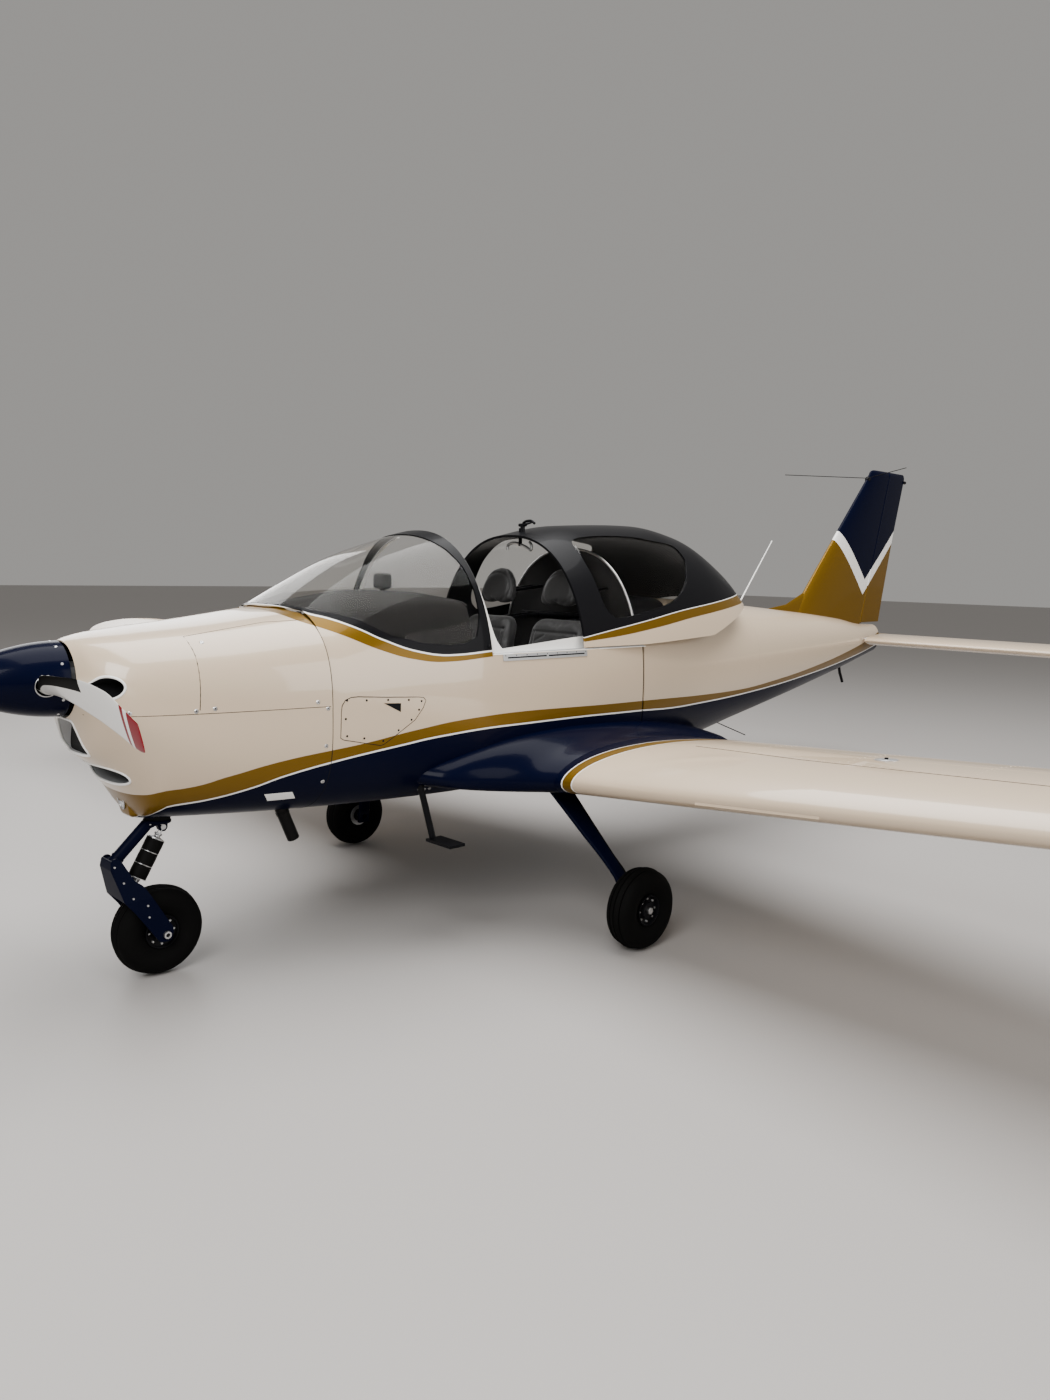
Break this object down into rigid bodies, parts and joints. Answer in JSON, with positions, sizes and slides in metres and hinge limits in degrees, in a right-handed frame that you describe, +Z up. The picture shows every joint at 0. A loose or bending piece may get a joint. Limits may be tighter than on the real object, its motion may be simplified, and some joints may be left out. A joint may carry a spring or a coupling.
{
  "type": "two-seat low-wing trainer aircraft",
  "caption": "Low-wing tricycle-gear trainer aircraft with a sliding canopy, parked on its wheels, with turning propeller, wheels and control surfaces.",
  "frame": {"origin": "on the floor, under the middle of the bounding box", "axes": "-X toward the nose, +Y to starboard, +Z up"},
  "size_m": [6.729, 9, 2.364],
  "materials": {
    "ivory_paint": "glossy painted skin",
    "navy_paint": "glossy dark blue paint",
    "gold_paint": "glossy ochre gold paint",
    "black_trim": "black painted border",
    "clear_pane": "clear acrylic pane",
    "white_blade": "white lacquered blade",
    "tyre_rubber": "black tyre",
    "shock_rubber": "black rubber pucks",
    "gear_steel": "dark painted steel tube",
    "bare_steel": "bare steel",
    "wheel_metal": "black painted alloy rim",
    "rail_metal": "grey slotted rail",
    "engine_metal": "cast engine block",
    "trim_plastic": "charcoal cabin trim",
    "seat_leather": "charcoal leather"
  },
  "bodies": {
    "airframe": {"cowling_upper": "ivory_paint", "cowling_lower": "ivory_paint", "landing_lamp": "clear_pane", "firewall": "bare_steel", "engine": "engine_metal", "cabin_shell": "ivory_paint", "cabin_floor": "trim_plastic", "seat_carrier": "trim_plastic", "rear_bulkhead": "trim_plastic", "instrument_panel": "trim_plastic", "glareshield": "trim_plastic", "centre_console": "trim_plastic", "seat_cushion_port": "seat_leather", "seat_back_port": "seat_leather", "seat_cushion_starboard": "seat_leather", "seat_back_starboard": "seat_leather", "control_sticks": "trim_plastic", "rudder_pedals": "bare_steel", "windscreen_frame": "black_trim", "windscreen_glass": "clear_pane", "canopy_rail_port": "rail_metal", "canopy_rail_starboard": "rail_metal", "aft_fuselage": "ivory_paint", "tail_cone": "ivory_paint", "wing_port": "ivory_paint", "wing_root_fairing_port": "navy_paint", "wing_starboard": "ivory_paint", "wing_root_fairing_starboard": "navy_paint", "fin": "gold_paint", "main_leg_port": "gear_steel", "main_leg_starboard": "gear_steel", "nose_gear_pivot": "bare_steel", "exhaust_pipe": "bare_steel", "step_port": "black_trim", "step_starboard": "black_trim", "whip_antenna": "ivory_paint", "tail_skid": "black_trim"},
    "propeller": {"propeller": "white_blade", "spinner": "navy_paint"},
    "canopy": {"canopy_frame": "black_trim", "canopy_window_port": "clear_pane", "canopy_window_starboard": "clear_pane", "canopy_handle": "black_trim"},
    "nose_gear": {"nose_leg": "gear_steel", "nose_fork": "gear_steel", "nose_shock": "shock_rubber"},
    "nose_wheel": {"nose_tyre": "tyre_rubber", "nose_rim": "wheel_metal"},
    "port_wheel": {"port_tyre": "tyre_rubber", "port_rim": "wheel_metal"},
    "starboard_wheel": {"starboard_tyre": "tyre_rubber", "starboard_rim": "wheel_metal"},
    "flap_port": {"flap_port": "ivory_paint"},
    "flap_starboard": {"flap_starboard": "ivory_paint"},
    "aileron_port": {"aileron_port": "ivory_paint"},
    "aileron_starboard": {"aileron_starboard": "ivory_paint"},
    "stabilator": {"stabilator": "ivory_paint"},
    "anti_servo_tab": {"anti_servo_tab": "ivory_paint"},
    "rudder": {"rudder": "gold_paint"}
  },
  "joints": [
    {"name": "propeller_spin", "type": "hinge", "parent": "airframe", "child": "propeller", "pos_m": [-3.04, 0, 1.17], "axis": [-1, 0, 0], "continuous": true},
    {"name": "canopy_slide", "type": "slide", "parent": "airframe", "child": "canopy", "axis": [1, 0, 0], "range_m": [-0.57, 0]},
    {"name": "nose_gear_steer", "type": "hinge", "parent": "airframe", "child": "nose_gear", "pos_m": [-2.615, 0, 0.613], "axis": [0.0813, 0, 0.9967], "range_deg": [-20, 20]},
    {"name": "nose_wheel_spin", "type": "hinge", "parent": "nose_gear", "child": "nose_wheel", "pos_m": [-2.626, 0, 0.174], "axis": [0, 1, 0], "continuous": true},
    {"name": "port_wheel_spin", "type": "hinge", "parent": "airframe", "child": "port_wheel", "pos_m": [-0.99, -1.063, 0.174], "axis": [0, 1, 0], "continuous": true},
    {"name": "starboard_wheel_spin", "type": "hinge", "parent": "airframe", "child": "starboard_wheel", "pos_m": [-0.99, 1.063, 0.174], "axis": [0, 1, 0], "continuous": true},
    {"name": "flap_port_hinge", "type": "hinge", "parent": "airframe", "child": "flap_port", "pos_m": [-0.2003, -1.695, 0.7691], "axis": [0.1428, 0.986, -0.086], "range_deg": [0, 35]},
    {"name": "flap_starboard_hinge", "type": "hinge", "parent": "airframe", "child": "flap_starboard", "pos_m": [-0.2003, 1.695, 0.7691], "axis": [-0.1428, 0.986, 0.086], "range_deg": [0, 35]},
    {"name": "aileron_port_hinge", "type": "hinge", "parent": "airframe", "child": "aileron_port", "pos_m": [-0.44944, -3.405, 0.9182], "axis": [0.1445, 0.9858, -0.0859], "range_deg": [-20, 20]},
    {"name": "aileron_starboard_hinge", "type": "hinge", "parent": "airframe", "child": "aileron_starboard", "pos_m": [-0.44944, 3.405, 0.9182], "axis": [-0.1445, 0.9858, 0.0859], "range_deg": [-20, 20]},
    {"name": "stabilator_hinge", "type": "hinge", "parent": "airframe", "child": "stabilator", "pos_m": [2.76, 0, 1.132], "axis": [0, -1, 0], "range_deg": [-4, 15]},
    {"name": "anti_servo_tab_hinge", "type": "hinge", "parent": "stabilator", "child": "anti_servo_tab", "pos_m": [3.256, 0, 1.132], "axis": [0, -1, 0], "range_deg": [-3, 10]},
    {"name": "rudder_hinge", "type": "hinge", "parent": "airframe", "child": "rudder", "pos_m": [2.731, 0, 1.252], "axis": [0.2709, 0, 0.9626], "range_deg": [-25, 25]}
  ],
  "couplings": [
    {"joint": "flap_starboard_hinge", "follows": "flap_port_hinge", "ratio": 1},
    {"joint": "aileron_starboard_hinge", "follows": "aileron_port_hinge", "ratio": -1},
    {"joint": "anti_servo_tab_hinge", "follows": "stabilator_hinge", "ratio": 0.6}
  ]
}
